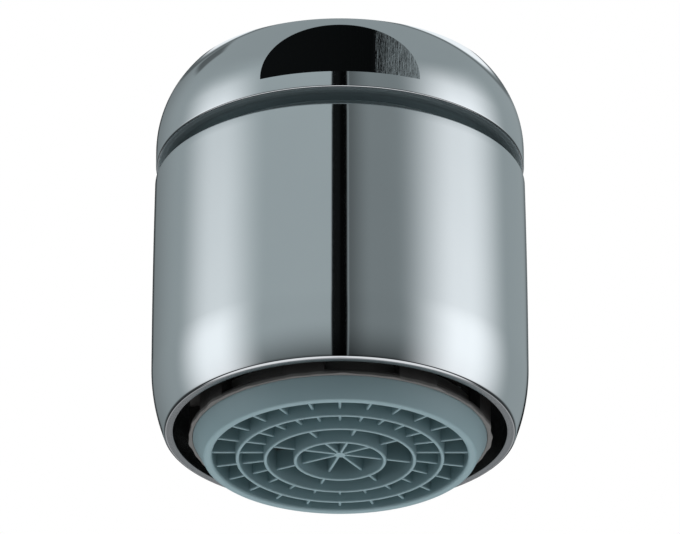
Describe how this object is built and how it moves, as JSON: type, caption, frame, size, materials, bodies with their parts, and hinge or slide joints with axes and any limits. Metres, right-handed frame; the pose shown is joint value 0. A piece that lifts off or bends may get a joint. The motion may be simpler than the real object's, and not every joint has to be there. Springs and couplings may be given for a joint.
{
  "type": "tap aerator",
  "caption": "Swivel tap aerator: a domed screw-on inlet cap with two spanner flats, a hollow ball joint, a round housing and a ribbed outlet grille.",
  "frame": {"origin": "centre of the inlet mouth, in the plane of the cap's top edge", "axes": "+Z along the inlet thread towards the tap, -Y out of the front spanner flat, the outlet faces -Z"},
  "size_m": [0.0274, 0.0274, 0.0301],
  "materials": {
    "chrome": "polished chrome on brass",
    "brass": "bare turned brass",
    "steel": "woven stainless mesh",
    "rubber": "black rubber",
    "white_plastic": "natural acetal",
    "dark_plastic": "dark warm grey plastic",
    "grille_plastic": "satin blue-grey plastic"
  },
  "bodies": {
    "cap": {"swivel_cap": "chrome", "inlet_washer": "rubber", "ball_seal": "rubber", "retaining_ring": "brass"},
    "turn": {"slide_ring": "white_plastic"},
    "housing": {"swivel_ball": "chrome", "stem_oring": "rubber", "ball_carrier": "brass", "housing": "chrome", "cartridge_washer": "rubber", "cartridge_sleeve": "dark_plastic", "cartridge_strainer": "white_plastic", "flow_limiter": "white_plastic", "flow_oring": "rubber", "jet_plate": "white_plastic", "mixing_ring": "dark_plastic", "upper_screen": "steel", "screen_spacer": "dark_plastic", "lower_screen": "steel", "outlet_grille": "grille_plastic"}
  },
  "joints": [
    {"name": "swivel_turn", "type": "hinge", "parent": "cap", "child": "turn", "pos_m": [0, 0, -0.01235], "axis": [0, 0, 1], "continuous": true},
    {"name": "swivel_tilt", "type": "hinge", "parent": "turn", "child": "housing", "pos_m": [0, 0, -0.01235], "axis": [1, 0, 0], "range_deg": [-5.5, 5.5]}
  ]
}
